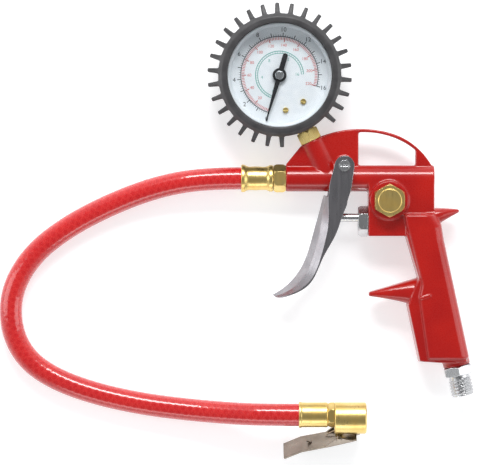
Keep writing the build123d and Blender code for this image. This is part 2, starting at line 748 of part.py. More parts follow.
with BuildPart() as chuck_body:
    turned(chuck_line, [(chuck_r, chuck_start, chuck_end)])
    chamfer(chuck_body.edges().filter_by(GeomType.CIRCLE).sort_by(Axis.X)[-1], 0.7)
    chamfer(chuck_body.edges().filter_by(GeomType.CIRCLE).sort_by(Axis.X)[0], 0.4)
    with BuildSketch(clip_plane):
        with BuildLine():
            Polyline(
                (hinge_x - 1.8, hinge_reach), (hinge_x - 2.0, 7.0), (hinge_x + 2.4, 7.0),
                (hinge_x + 1.8, hinge_reach), close=True,
            )
        make_face()
        with Locations((hinge_x, hinge_reach)):
            Circle(1.8)
    extrude(amount=2.2, both=True)
    bored(chuck_line, [(mouth_r, chuck_end - mouth_depth, chuck_end), (4.6, 3.0, chuck_end - mouth_depth)])
    bored(far_line, [(4.0, chuck_start, 1.5), (2.0, 1.5, 3.0)])
    with BuildSketch(clip_plane):
        with Locations((hinge_x, hinge_reach)):
            Circle(hinge_r + 0.02)
    extrude(amount=3.0, both=True, mode=Mode.SUBTRACT)
    # slot that the clip's hook passes through
    with BuildSketch(clip_plane):
        with Locations((10.2, 6.6)):
            Rectangle(3.6, 6.4)
    extrude(amount=hook_half + 0.3, both=True, mode=Mode.SUBTRACT)
save(chuck_body.part, "chuck_body")

with BuildPart() as chuck_seal:
    turned(chuck_line, [(4.55, 3.05, chuck_end - mouth_depth - 0.05)])
    bored(chuck_line, [(1.9, 3.05, chuck_end - mouth_depth)])
save(chuck_seal.part, "chuck_seal")

with BuildPart() as core_pin:
    turned(chuck_line, [(1.0, 3.05, 7.6), (1.85, 3.05, 4.0)])
save(core_pin.part, "core_pin")

with BuildPart() as clip_pin:
    turned(Plane(clip_plane.from_local_coords(Vector(hinge_x, hinge_reach, 0)), z_dir=clip_plane.z_dir),
           [(hinge_r, -7.4, 7.4), (1.6, -8.0, -7.1), (1.6, 7.1, 8.0)])
save(clip_pin.part, "clip_pin")

with BuildPart() as clip_lever:
    with BuildSketch(clip_plane):
        with BuildLine():
            Polyline(
                (-32.1, 23.6), (-22.4, 18.8), (-6.7, 15.1), (8.4, 10.8),
                (8.1, 9.65), (-7.0, 13.9), (-22.8, 17.6), (-32.6, 22.5), close=True,
            )
        make_face()
    extrude(amount=clip_half, both=True)
    # hook that reaches through the slot in the chuck
    with BuildSketch(clip_plane):
        with BuildLine():
            Polyline((8.0, 10.85), (10.3, 10.2), (10.3, 4.4), (9.2, 4.4), (9.2, 9.3), (7.8, 9.7), close=True)
        make_face()
    extrude(amount=hook_half, both=True)
    with BuildSketch(clip_plane) as clip_ear:
        with BuildLine():
            Polyline(
                (-9.0, 14.6), (hinge_x - 2.2, hinge_reach - 0.6), (hinge_x, hinge_reach - 2.2),
                (hinge_x + 2.0, hinge_reach - 1.2), (6.5, 10.6), (-6.8, 14.2), close=True,
            )
        make_face()
        with Locations((hinge_x, hinge_reach)):
            Circle(hinge_r + running, mode=Mode.SUBTRACT)
    extrude(clip_ear.sketch.moved(Location(clip_plane.z_dir * (clip_half - clip_sheet))), amount=clip_sheet)
    extrude(clip_ear.sketch.moved(Location(clip_plane.z_dir * -clip_half)), amount=clip_sheet)
save(clip_lever.part, "clip_lever")

with BuildPart() as clip_spring:
    with BuildSketch(clip_plane.offset(2.5)):
        with Locations((hinge_x, hinge_reach)):
            Circle(1.9)
            Circle(hinge_r + 0.1, mode=Mode.SUBTRACT)
    extrude(amount=3.0)
save(clip_spring.part, "clip_spring")
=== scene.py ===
import json
import math

import bmesh
import bpy
from mathutils import Matrix, Vector


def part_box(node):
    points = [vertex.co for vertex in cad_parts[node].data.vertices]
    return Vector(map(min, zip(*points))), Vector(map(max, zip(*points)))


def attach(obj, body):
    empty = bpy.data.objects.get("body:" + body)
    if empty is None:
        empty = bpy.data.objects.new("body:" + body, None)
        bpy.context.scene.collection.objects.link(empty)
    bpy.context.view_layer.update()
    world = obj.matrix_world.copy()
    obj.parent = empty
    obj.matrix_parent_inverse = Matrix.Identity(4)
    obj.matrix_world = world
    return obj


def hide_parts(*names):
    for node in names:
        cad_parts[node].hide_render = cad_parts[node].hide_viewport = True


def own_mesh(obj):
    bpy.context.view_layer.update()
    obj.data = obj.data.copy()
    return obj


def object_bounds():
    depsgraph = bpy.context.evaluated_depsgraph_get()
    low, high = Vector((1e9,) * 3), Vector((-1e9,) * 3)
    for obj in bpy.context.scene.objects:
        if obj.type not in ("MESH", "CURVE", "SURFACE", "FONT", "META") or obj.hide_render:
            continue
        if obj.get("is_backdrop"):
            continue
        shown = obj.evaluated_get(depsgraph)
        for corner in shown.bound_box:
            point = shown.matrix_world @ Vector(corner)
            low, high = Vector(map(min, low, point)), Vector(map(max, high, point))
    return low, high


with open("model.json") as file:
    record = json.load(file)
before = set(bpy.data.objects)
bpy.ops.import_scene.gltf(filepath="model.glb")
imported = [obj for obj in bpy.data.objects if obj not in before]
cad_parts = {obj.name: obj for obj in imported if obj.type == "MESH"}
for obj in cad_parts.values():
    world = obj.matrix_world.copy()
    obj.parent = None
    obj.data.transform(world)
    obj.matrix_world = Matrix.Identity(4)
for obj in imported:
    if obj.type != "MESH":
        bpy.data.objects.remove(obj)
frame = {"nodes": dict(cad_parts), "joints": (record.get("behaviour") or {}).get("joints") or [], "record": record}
cad_low, cad_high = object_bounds()
nodes = frame["nodes"]
scene = bpy.context.scene
MM = 0.001


def middle(node):
    """Centre of a CAD node's box."""
    low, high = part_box(node)
    return (low + high) / 2


def joint_named(name):
    """A joint of the record, by its name."""
    return next(joint for joint in frame["joints"] if joint["name"] == name)


# ---- camera --------------------------------------------------------------------------------
VIEW_DISTANCE = 1.6
VIEW_WIDTH = 0.2677  # what the frame's width spans at the gun's middle plane
VIEW_TILT = math.radians(2.0)  # how far the camera stands over towards the gauge's side
VIEW_SHIFT_X, VIEW_SHIFT_Y = 0.0012, -0.0003  # the view's middle, from the middle of the object's box
view_plane_z = middle("gun_body").z
camera_data = bpy.data.cameras.new("camera")
camera_data.sensor_width = 36
camera_data.lens = camera_data.sensor_width * VIEW_DISTANCE / VIEW_WIDTH
camera = bpy.data.objects.new("camera", camera_data)
scene.collection.objects.link(camera)
view_centre = (cad_low + cad_high) / 2
camera.location = (
    view_centre.x + VIEW_SHIFT_X,
    view_centre.y + VIEW_SHIFT_Y + VIEW_DISTANCE * math.sin(VIEW_TILT),
    view_plane_z + VIEW_DISTANCE * math.cos(VIEW_TILT),
)
camera.rotation_euler = (-VIEW_TILT, 0, 0)
scene.camera = camera


# ---- node graphs ---------------------------------------------------------------------------
class Graph:
    """A material's node tree, with short calls for making and joining nodes."""

    def __init__(self, name):
        self.material = bpy.data.materials.new(name)
        self.material.use_nodes = True
        self.tree = self.material.node_tree
        self.shader = self.tree.nodes["Principled BSDF"]

    def node(self, kind, inputs=None, **settings):
        made = self.tree.nodes.new("ShaderNode" + kind)
        for key, value in settings.items():
            setattr(made, key, value)
        for key, value in (inputs or {}).items():
            self.put(made.inputs[key], value)
        return made

    def put(self, socket, value):
        if isinstance(value, bpy.types.NodeSocket):
            self.tree.links.new(value, socket)
        else:
            socket.default_value = value

    def set(self, **values):
        for key, value in values.items():
            self.put(self.shader.inputs[key.replace("_", " ")], value)

    def object_space(self, scale=(1, 1, 1)):
        place = self.node("TexCoord").outputs["Object"]
        return self.node("Mapping", {"Vector": place, "Scale": scale}).outputs[0]

    def noise(self, vector, scale, detail=4.0, roughness=0.55):
        inputs = {"Vector": vector, "Scale": scale, "Detail": detail, "Roughness": roughness}
        return self.node("TexNoise", inputs).outputs["Fac"]

    def ramp(self, value, low, high, to_low=0.0, to_high=1.0):
        return self.node(
            "MapRange",
            {"Value": value, "From Min": low, "From Max": high, "To Min": to_low, "To Max": to_high},
        ).outputs[0]

    def mix(self, factor, first, second):
        made = self.node("Mix", data_type="RGBA")
        self.put(made.inputs["Factor"], factor)
        self.put(made.inputs[6], first)
        self.put(made.inputs[7], second)
        return made.outputs[2]

    def math(self, operation, first, second=0.0):
        return self.node("Math", {0: first, 1: second}, operation=operation).outputs[0]

    def edge(self, radius, low=0.02, high=0.25):
        """1 on edges sharper than radius, 0 on flats."""
        soft = self.node("Bevel", {"Radius": radius}, samples=6).outputs[0]
        plain = self.node("NewGeometry").outputs["Normal"]
        dot = self.node("VectorMath", {0: soft, 1: plain}, operation="DOT_PRODUCT").outputs["Value"]
        return self.ramp(self.math("SUBTRACT", 1.0, dot), low, high)

    def bump(self, height, distance, strength=1.0, soften=0.0):
        inputs = {"Height": height, "Distance": distance, "Strength": strength}
        if soften:
            inputs["Normal"] = self.node("Bevel", {"Radius": soften}, samples=6).outputs[0]
        return self.node("Bump", inputs).outputs[0]


def rgb(red, green, blue):
    return (red, green, blue, 1.0)


def red_paint():
    g = Graph("red_paint")
    space = g.object_space()
    cloud = g.noise(space, 38, 3)
    peel = g.noise(space, 620, 2)
    grit = g.noise(space, 2600, 2)
    body = g.mix(g.ramp(cloud, 0.35, 0.68), rgb(0.35, 0.003, 0.002), rgb(0.43, 0.007, 0.003))
    # every edge is painted a paler red: a painted highlight where light would catch the rounded edges of the
    # casting
    edge = g.edge(0.0007)
    g.set(
        Base_Color=g.mix(g.math("MULTIPLY", edge, 0.55), body, rgb(0.72, 0.05, 0.05)),
        Roughness=g.ramp(grit, 0.3, 0.7, 0.24, 0.34),
        Specular_IOR_Level=0.3,
        Coat_Weight=0.65,
        Coat_Roughness=0.10,
        Normal=g.bump(g.math("ADD", peel, g.math("MULTIPLY", grit, 0.15)), 0.00006, 0.5, 0.0006),
    )
    return g.material


def metal(name, light, dark, rough, brushed=(1, 1, 1), brush=900, depth=0.000012, soften=0.00025, edge_highlight_share=0.5):
    """A bare or plated metal: tint drifting between two colours, fine lines, and a painted highlight of brighter
    metal along its edges.
    """
    g = Graph(name)
    space = g.object_space()
    drift = g.noise(space, 95, 4)
    lines = g.noise(g.object_space(brushed), brush, 3, 0.6)
    edge = g.edge(0.0004)
    colour = g.mix(g.ramp(drift, 0.32, 0.7), light, dark)
    # a brighter metal colour for the edges: a painted highlight, mixed in by the edge mask
    edge_highlight = tuple(min(1.0, 1.18 * value + 0.04) for value in light[:3]) + (1.0,)
    g.set(
        Base_Color=g.mix(g.math("MULTIPLY", edge, edge_highlight_share), colour, edge_highlight),
        Metallic=1.0,
        Roughness=g.ramp(g.math("ADD", drift, lines), 0.7, 1.3, rough[0], rough[1]),
        Normal=g.bump(lines, depth, 0.6, soften),
    )
    return g.material


def moulded(name, light, dark, rough, grain=1500, depth=0.00004, soften=0.0003, sheen=0.0, edge_highlight_share=0.3):
    """Rubber or plastic from a mould: slightly blotchy, finely grained, with a painted highlight that makes its
    edges paler.
    """
    g = Graph(name)
    space = g.object_space()
    blotch = g.noise(space, 120, 4)
    fine = g.noise(space, grain, 3)
    colour = g.mix(g.ramp(blotch, 0.35, 0.7), dark, light)
    # a paler colour for the edges: a painted highlight, mixed in by the edge mask
    pale = tuple(min(1.0, 1.6 * value + 0.03) for value in light[:3]) + (1.0,)
    g.set(
        Base_Color=g.mix(g.math("MULTIPLY", g.edge(0.0005), edge_highlight_share), colour, pale),
        Roughness=g.ramp(fine, 0.3, 0.7, rough[0], rough[1]),
        Sheen_Weight=sheen,
        Normal=g.bump(fine, depth, 0.5, soften),
    )
    return g.material


def printed(name, colour, other):
    """Ink on the dial: its cover is slightly uneven."""
    g = Graph(name)
    cover = g.noise(g.object_space(), 2200, 3)
    g.set(
        Base_Color=g.mix(g.ramp(cover, 0.42, 0.75), colour, other),
        Roughness=g.ramp(cover, 0.3, 0.7, 0.5, 0.65),
        Normal=g.bump(cover, 0.000004, 0.4),
    )
    return g.material


def enamel(name, colour, other):
    """Painted sheet: near flat, with a faint mottle."""
    g = Graph(name)
    space = g.object_space()
    mottle = g.noise(space, 260, 5)
    grain = g.noise(space, 3200, 2)
    g.set(
        Base_Color=g.mix(g.ramp(mottle, 0.35, 0.7), colour, other),
        Roughness=g.ramp(grain, 0.3, 0.7, 0.38, 0.5),
        Normal=g.bump(grain, 0.000008, 0.5),
    )
    return g.material


def lens_glass():
    g = Graph("lens_clear")
    smear = g.noise(g.object_space(), 150, 5)
    clear = g.node("BsdfTransparent", {"Color": rgb(0.965, 0.975, 0.98)})
    gloss = g.node("BsdfGlossy", {"Color": rgb(1, 1, 1), "Roughness": g.ramp(smear, 0.3, 0.7, 0.02, 0.06)})
    facing = g.node("LayerWeight", {"Blend": 0.12}).outputs["Fresnel"]
    both = g.node("MixShader", {0: facing, 1: clear.outputs[0], 2: gloss.outputs[0]})
    g.tree.links.new(both.outputs[0], g.tree.nodes["Material Output"].inputs["Surface"])
    return g.material


YARNS = 7  # each way round the hose
YARN_PITCH = 0.0042  # along the hose, from one yarn to the next of its hand


def hose_skin():
    """Clear red skin over crossing yarns. The map's x runs round the hose and its y along it, in metres."""
    g = Graph("hose_red")
    along = g.node("SeparateXYZ", {0: g.node("TexCoord").outputs["UV"]})
    yarns = []
    for hand in (1, -1):
        turn = g.math("MULTIPLY", along.outputs[0], 2 * math.pi * YARNS)
        run = g.math("MULTIPLY", along.outputs[1], hand * 2 * math.pi / YARN_PITCH)
        yarns.append(g.math("SINE", g.math("ADD", turn, run)))
    weave = g.ramp(g.math("MAXIMUM", yarns[0], yarns[1]), -0.2, 1.0)
    space = g.object_space()
    cloud = g.noise(space, 45, 4)
    fine = g.noise(space, 1800, 2)
    deep = g.mix(g.ramp(cloud, 0.35, 0.7), rgb(0.50, 0.004, 0.008), rgb(0.58, 0.010, 0.010))
    g.set(
        Base_Color=g.mix(g.math("MULTIPLY", weave, 0.22), deep, rgb(0.78, 0.06, 0.05)),
        Roughness=g.ramp(fine, 0.3, 0.7, 0.20, 0.32),
        Coat_Weight=0.9,
        Coat_Roughness=0.07,
        Subsurface_Weight=0.12,
        Subsurface_Radius=(0.004, 0.0008, 0.0006),
        Subsurface_Scale=0.6,
        Normal=g.bump(g.math("ADD", weave, g.math("MULTIPLY", fine, 0.1)), 0.00005, 0.35),
    )
    return g.material


paint = red_paint()
brass = metal("brass", rgb(0.90, 0.70, 0.28), rgb(0.78, 0.54, 0.17), (0.25, 0.40), (1, 0.06, 1), 1500)
steel = metal("steel", rgb(0.66, 0.67, 0.68), rgb(0.50, 0.50, 0.51), (0.20, 0.34), (1, 0.08, 1), 1400)
plated = metal(
    "trigger_steel", rgb(0.40, 0.39, 0.41), rgb(0.30, 0.29, 0.31), (0.20, 0.36), (0.6, 0.05, 1), 1100,
    depth=0.00001, soften=0.0004,
)
clip_metal = metal(
    "clip_steel", rgb(0.33, 0.285, 0.24), rgb(0.22, 0.185, 0.155), (0.24, 0.40), (0.12, 1, 1), 900,
    depth=0.00002, soften=0.0002,
)
spring_wire = metal("spring_steel", rgb(0.62, 0.52, 0.42), rgb(0.42, 0.32, 0.24), (0.25, 0.4), edge_highlight_share=0.3)
rubber = moulded("boot_rubber", rgb(0.052, 0.050, 0.053), rgb(0.026, 0.025, 0.027), (0.38, 0.55), sheen=0.1)
seal = moulded("seal_rubber", rgb(0.035, 0.035, 0.035), rgb(0.02, 0.02, 0.02), (0.5, 0.7))
white = enamel("dial_white", rgb(0.86, 0.88, 0.90), rgb(0.80, 0.83, 0.86))
black_case = enamel("case_black", rgb(0.025, 0.025, 0.027), rgb(0.04, 0.04, 0.042))
black_pointer = enamel("pointer_black", rgb(0.010, 0.010, 0.012), rgb(0.018, 0.018, 0.02))
ink_black = printed("ink_black", rgb(0.02, 0.025, 0.035), rgb(0.09, 0.10, 0.12))
ink_red = printed("ink_red", rgb(0.60, 0.09, 0.09), rgb(0.74, 0.24, 0.22))
ink_green = printed("ink_green", rgb(0.10, 0.40, 0.34), rgb(0.26, 0.52, 0.48))
glass = lens_glass()

by_slot = {
    "red_paint": paint, "brass": brass, "steel": steel, "trigger_steel": plated, "boot_rubber": rubber,
    "seal_rubber": seal, "hose_red": paint, "dial_white": white, "case_black": black_case,
    "pointer_black": black_pointer, "lens_clear": glass, "spring_steel": spring_wire,
}
for row in frame["record"]["subparts"]:
    for held in nodes[row["node"]].material_slots:
        held.material = by_slot[row["material_slot"]]
for held in nodes["clip_pin"].material_slots:
    held.material = clip_metal


# ---- mesh helpers --------------------------------------------------------------------------
def piece(name, mesh, material, body, replaced=(), angle=40):
    """Links a finished mesh as a piece on a body."""
    obj = bpy.data.objects.new(name, mesh)
    scene.collection.objects.link(obj)
    mesh.materials.clear()
    mesh.materials.append(material)
    mesh.shade_smooth()
    mesh.set_sharp_from_angle(angle=math.radians(angle))
    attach(obj, body)
    if replaced:
        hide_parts(*replaced)
    return obj


def from_faces(name, points, faces):
    mesh = bpy.data.meshes.new(name)
    mesh.from_pydata([tuple(point) for point in points], [], faces)
    mesh.validate()
    whole = bmesh.new()
    whole.from_mesh(mesh)
    bmesh.ops.recalc_face_normals(whole, faces=whole.faces)
    whole.to_mesh(mesh)
    whole.free()
    return mesh


def applied(obj):
    """The object's mesh with its modifiers, with the object removed."""
    graph = bpy.context.evaluated_depsgraph_get()
    mesh = bpy.data.meshes.new_from_object(obj.evaluated_get(graph))
    bpy.data.objects.remove(obj)
    return mesh


def softened(name, node, voxel, rounds, material, body, angle=60):
    """A CAD node's shape as it leaves a mould or a press: its edges and inner corners rounded over."""
    obj = bpy.data.objects.new(name + "_raw", nodes[node].data.copy())
    scene.collection.objects.link(obj)
    remesh = obj.modifiers.new("remesh", "REMESH")
    remesh.mode = "VOXEL"
    remesh.voxel_size = voxel
    smooth = obj.modifiers.new("smooth", "SMOOTH")
    smooth.factor = 0.5
    smooth.iterations = rounds
    return piece(name, applied(obj), material, body, (node,), angle)


def spline_points(route, resolution):
    """Points along the NURBS spline whose control points are the route."""
    curve = bpy.data.curves.new("route", "CURVE")
    curve.dimensions = "3D"
    curve.resolution_u = resolution
    spline = curve.splines.new("NURBS")
    spline.points.add(len(route) - 1)
    for point, place in zip(spline.points, route):
        point.co = (*place, 1.0)
    spline.order_u = 3
    spline.use_endpoint_u = True
    obj = bpy.data.objects.new("route", curve)
    scene.collection.objects.link(obj)
    mesh = applied(obj)
    points = [vertex.co.copy() for vertex in mesh.vertices]
    bpy.data.meshes.remove(mesh)
    bpy.data.curves.remove(curve)
    return points


def quad(first, second, side, sides):
    """The face between two rings of points at one side of them."""
    step = (side + 1) % sides
    return (first * sides + side, first * sides + step, second * sides + step, second * sides + side)


def tube(name, points, radius, sides, closed=False):
    """A round tube along points. radius(u, s) takes the share of a turn and the distance along, in metres."""
    normal = Vector((0, 0, 1))
    verts, runs, run = [], [], 0.0
    for index, point in enumerate(points):
        before = points[max(index - 1, 0)]
        after = points[min(index + 1, len(points) - 1)]
        tangent = (after - before).normalized()
        normal = (normal - tangent * normal.dot(tangent)).normalized()
        across = tangent.cross(normal)
        run += (point - before).length if index else 0.0
        runs.append(run)
        for side in range(sides):
            turn = 2 * math.pi * side / sides
            reach = radius(side / sides, run)
            verts.append(point + (normal * math.cos(turn) + across * math.sin(turn)) * reach)
    faces, maps = [], []
    for ring in range(len(points) - 1):
        for side in range(sides):
            faces.append(quad(ring, ring + 1, side, sides))
            left, right = side / sides, (side + 1) / sides
            maps += [(left, runs[ring]), (right, runs[ring]), (right, runs[ring + 1]), (left, runs[ring + 1])]
    if closed:
        faces.append(tuple(range(sides))[::-1])
        faces.append(tuple((len(points) - 1) * sides + side for side in range(sides)))
        maps += [(0.0, 0.0)] * (2 * sides)
    mesh = from_faces(name, verts, faces)
    layer = mesh.uv_layers.new(name="UVMap")
    for loop, place in zip(layer.data, maps):
        loop.uv = place
    return mesh


def revolved(name, start, along, rings, sides=96):
    """A closed mesh round an axis. Each ring is a distance along it and a radius, or a radius(turn)."""
    upward = Vector((0, 0, 1))
    across = along.cross(upward)
    verts, faces = [], []
    for distance, reach in rings:
        for side in range(sides):
            turn = 2 * math.pi * side / sides
            radius = reach(turn) if callable(reach) else reach
            outward = upward * math.cos(turn) + across * math.sin(turn)
            verts.append(start + along * distance + outward * radius)
    for ring in range(len(rings)):
        after = (ring + 1) % len(rings)
        faces += [quad(ring, after, side, sides) for side in range(sides)]
    return from_faces(name, verts, faces)


# ---- crimped ferrules ----------------------------------------------------------------------
FERRULE_BORE = 0.00395


def crimped(name, node, profile):
    """A ferrule turned and crimped: the profile's distances are shares of its length, its radii in mm."""
    low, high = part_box(node)
    start = Vector((low.x, (low.y + high.y) / 2, (low.z + high.z) / 2))
    length = high.x - low.x
    shape = spline_points([(share * length, radius * MM, 0) for share, radius in profile], 6)
    rings = [(0.0, FERRULE_BORE), *[(point.x, point.y) for point in shape], (length, FERRULE_BORE)]
    return piece(name, revolved(name, start, Vector((1, 0, 0)), rings), brass, "root", (node,), 50)


crimped("crimped_ferrule", "hose_ferrule", [
    (0.0, 6.6), (0.0, 7.5), (0.02, 7.79), (0.08, 7.79), (0.13, 7.5), (0.17, 6.9),
    (0.26, 6.55), (0.36, 6.65), (0.44, 6.72), (0.56, 6.66), (0.66, 6.5), (0.78, 6.6),
    (0.83, 7.0), (0.87, 7.4), (0.92, 7.49), (0.97, 7.45), (0.99, 7.1), (1.0, 6.4),
])
chuck_ferrule = crimped("crimped_chuck_ferrule", "chuck_ferrule", [
    (0.0, 6.6), (0.0, 7.1), (0.02, 7.28), (0.07, 7.28), (0.10, 7.0), (0.16, 6.92),
    (0.5, 6.95), (0.86, 6.92), (0.91, 6.98), (0.95, 6.99), (0.98, 6.9), (1.0, 6.5),
])

# ---- hose ----------------------------------------------------------------------------------
hose_route = [
    (-0.0564, 0.0126, 0.0120), (-0.0780, 0.0126, 0.0120),
    (-0.1045, 0.0076, 0.0090), (-0.1310, -0.0026, 0.0067),
    (-0.1555, -0.0156, 0.0065), (-0.1745, -0.0310, 0.0064),
    (-0.1856, -0.0505, 0.0065), (-0.1862, -0.0710, 0.0064),
    (-0.1785, -0.0880, 0.0065), (-0.1635, -0.0995, 0.0064),
    (-0.1405, -0.1083, 0.0065), (-0.1120, -0.1146, 0.0069),
    (-0.0840, -0.1178, 0.0090), (-0.0600, -0.1192, 0.0145),
    (-0.0420, -0.1194, 0.0195), (-0.0242, -0.1194, 0.0195),
]
HOSE_R = 0.0063
HOSE_SIDES = 12 * YARNS
YARN_RELIEF = 0.00002
hose_line = spline_points(hose_route, 40)


def braided(turn, run):
    """The skin stands a little proud over each yarn."""
    phases = [2 * math.pi * (YARNS * turn + hand * run / YARN_PITCH) for hand in (1, -1)]
    return HOSE_R - YARN_RELIEF + YARN_RELIEF * max(math.sin(phase) for phase in phases)


hose_mesh = tube("hose_tube", hose_line, braided, HOSE_SIDES)
hose = piece("hose_tube", hose_mesh, hose_skin(), "root", ("hose",), 80)

# ---- castings and mouldings ----------------------------------------------------------------
softened("gun_casting", "gun_body", 0.00045, 6, paint, "root")
softened("boot_moulding", "gauge_boot", 0.00042, 2, rubber, "root")

# ---- inlet ---------------------------------------------------------------------------------
inlet_mount = next(mount for mount in frame["record"]["mounts"] if mount["name"] == "inlet_thread")
inlet_axis = Vector(inlet_mount["axis"]).normalized()
thread_middle = Vector(inlet_mount["pos_m"])
thread_r = inlet_mount["dims"]["r_mm"] * MM
thread_length = inlet_mount["dims"]["length_mm"] * MM
THREAD_START, COLLAR_LENGTH, COLLAR_FLATS = 0.0068, 0.0056, 0.0150
THREAD_PITCH, THREAD_DEPTH = 0.0018, 0.00075
collar_start = thread_middle - inlet_axis * (THREAD_START + thread_length / 2)


def collar(distance):
    """Radius round the hexagonal collar, its corners turned down towards both ends."""
    corner = COLLAR_FLATS / math.sqrt(3)
    cut = corner - 0.47 * COLLAR_FLATS
    near = min(distance, COLLAR_LENGTH - distance)
    limit = corner - cut * max(0.0, 1 - near / (cut / 2))

    def reach(turn):
        off = (turn % (math.pi / 3)) - math.pi / 6
        return min(COLLAR_FLATS / 2 / math.cos(off), limit)

    return reach


def thread(distance):
    """Radius round the thread: one ridge that climbs a pitch each turn and fades in at its ends."""
    from_end = min(distance - THREAD_START, THREAD_START + thread_length - distance)
    fade = min(1.0, from_end / (0.6 * THREAD_PITCH))

    def reach(turn):
        phase = (distance / THREAD_PITCH - turn / (2 * math.pi)) % 1.0
        ridge = max(0.0, 1 - abs(phase - 0.5) / 0.42)
        return thread_r - THREAD_DEPTH + THREAD_DEPTH * min(1.0, 1.15 * ridge) * max(0.0, fade)

    return reach


INLET_BORE, BORE_CHAMFER, NECK_R = 0.0034, 0.0005, 0.0056
COLLAR_STEPS, THREAD_STEPS, INLET_SIDES = 28, 170, 120
thread_stop = THREAD_START + thread_length
collar_spots = [COLLAR_LENGTH * step / COLLAR_STEPS for step in range(COLLAR_STEPS + 1)]
thread_spots = [THREAD_START + thread_length * step / THREAD_STEPS for step in range(THREAD_STEPS + 1)]
inlet_rings = [
    (0.0, INLET_BORE),
    *[(spot, collar(spot)) for spot in collar_spots],
    (COLLAR_LENGTH, NECK_R), (THREAD_START, NECK_R),
    *[(spot, thread(spot)) for spot in thread_spots],
    (thread_stop, INLET_BORE + BORE_CHAMFER), (thread_stop - BORE_CHAMFER, INLET_BORE),
]
inlet_mesh = revolved("threaded_inlet", collar_start, inlet_axis, inlet_rings, INLET_SIDES)
piece("threaded_inlet", inlet_mesh, steel, "root", ("inlet_plug",), 35)

# ---- clip ----------------------------------------------------------------------------------
hinge = joint_named("clip_pivot")
hinge_place = Vector(hinge["pos_m"])
pin_axis = Vector(hinge["axis"]).normalized()
outward = Vector((0, pin_axis.z, -pin_axis.y))  # square to the pin and the chuck, towards the lever
softened("clip_pressing", "clip_lever", 0.00022, 2, clip_metal, "clip", 45)


def clip_point(x, out, side):
    """A place by its distance along the chuck, outward from the hinge and along the pin, in mm."""
    return hinge_place + Vector((x * MM, 0, 0)) + outward * (out * MM) + pin_axis * (side * MM)


# the tab punched inward out of the thumb plate, a small sprung tongue
TAB_WIDTH, TAB_THICK = 2.6, 0.7
tab_line = [(-14.4, 6.2), (-15.6, 5.2), (-16.8, 4.6), (-18.0, 4.4)]  # along the chuck, outward from the hinge
tab_points, tab_faces = [], []
for along, out in tab_line:
    for side in (-TAB_WIDTH / 2, TAB_WIDTH / 2):
        tab_points += [clip_point(along, out, side), clip_point(along + 0.2, out + TAB_THICK, side)]
for link in range(len(tab_line) - 1):
    first = 4 * link
    for one, two in ((0, 1), (1, 3), (3, 2), (2, 0)):
        tab_faces.append((first + one, first + two, first + 4 + two, first + 4 + one))
last = 4 * (len(tab_line) - 1)
tab_faces += [(0, 2, 3, 1), (last, last + 1, last + 3, last + 2)]
piece("clip_tab", from_faces("clip_tab", tab_points, tab_faces), clip_metal, "clip")

# the torsion spring: a coil on the pin, and a leg that lies under the lever (these sizes in mm)
COIL_STEPS = 24  # points in a turn
COIL_TURNS, COIL_R, COIL_SIDE, COIL_PITCH = 3.4, 1.5, 2.9, 0.68
LEG_STEPS, LEG_X, LEG_OUT = 8, -7.2, 3.5
CLIP_WIRE_R = 0.33
coil = []
for step in range(int(COIL_TURNS * COIL_STEPS) + 1):
    turn = 2 * math.pi * step / COIL_STEPS + math.pi
    climbed = COIL_SIDE + COIL_PITCH * step / COIL_STEPS
    coil.append(clip_point(COIL_R * math.cos(turn), COIL_R * math.sin(turn), climbed))
lever_leg = []
for step in range(LEG_STEPS):
    left = 1 - step / LEG_STEPS  # share of the leg still to go to the coil
    lever_leg.append(clip_point(-COIL_R + (LEG_X + COIL_R) * left, LEG_OUT * left, COIL_SIDE))
clip_coil = tube("torsion_spring", lever_leg + coil, lambda turn, run: CLIP_WIRE_R * MM, 10, True)
piece("torsion_spring", clip_coil, spring_wire, "clip", ("clip_spring",), 60)

# ---- springs that their joints squeeze -----------------------------------------------------
SPRING_STEPS = 24
for name, node, joint_name, wire_r, turns in (
    ("valve_coil", "valve_spring", "rod_slide", 0.0004, 4),
    ("check_coil", "check_spring", "check_lift", 0.00035, 5),
):
    low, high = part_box(node)
    slide = joint_named(joint_name)
    along = Vector(slide["axis"])
    across = Vector((0, 1, 0))
    other = along.cross(across)
    length = (high - low).dot(along)
    coil_r = (high - low).y / 2 - wire_r
    near = (low + high) / 2 - along * (length / 2 - wire_r)
    points = []
    for step in range(turns * SPRING_STEPS + 1):
        turn = 2 * math.pi * step / SPRING_STEPS
        climbed = (length - 2 * wire_r) * step / (turns * SPRING_STEPS)
        spoke = across * math.cos(turn) + other * math.sin(turn)
        points.append(near + along * climbed + spoke * coil_r)
    wire = tube(name, points, lambda turn, run: wire_r, 12, True)
    spring = piece(name, wire, spring_wire, "root", (node,), 60)
    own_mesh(spring)

# ---- dial ----------------------------------------------------------------------------------
dial_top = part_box("dial")[1].z
dial_place = middle("dial")
ZERO_ANGLE = -106.3
SWEEP = 270.0
INK = 0.00006


def scale_angle(share):
    """Direction of a reading, as a share of the whole scale."""
    return math.radians(ZERO_ANGLE - SWEEP * share)


def on_dial(radius, angle, height=0.0):
    return Vector((
        dial_place.x + radius * math.cos(angle), dial_place.y + radius * math.sin(angle), dial_top + height,
    ))


def raised(name, outlines):
    """Flat printed shapes, each a closed outline on the dial, given the thickness of ink."""
    points, faces = [], []
    for outline in outlines:
        first = len(points)
        count = len(outline)
        points += [Vector((x, y, dial_top)) for x, y in outline]
        points += [Vector((x, y, dial_top + INK)) for x, y in outline]
        faces.append(tuple(range(first + count, first + 2 * count)))
        faces.append(tuple(range(first, first + count))[::-1])
        for index in range(count):
            step = (index + 1) % count
            faces.append((first + index, first + step, first + count + step, first + count + index))
    return from_faces(name, points, faces)


def tick(share, inner, outer, width):
    """A radial mark."""
    angle = scale_angle(share)
    side = Vector((-math.sin(angle), math.cos(angle), 0)) * width / 2
    ends = [on_dial(inner, angle) - side, on_dial(outer, angle) - side,
            on_dial(outer, angle) + side, on_dial(inner, angle) + side]
    return [(end.x, end.y) for end in ends]


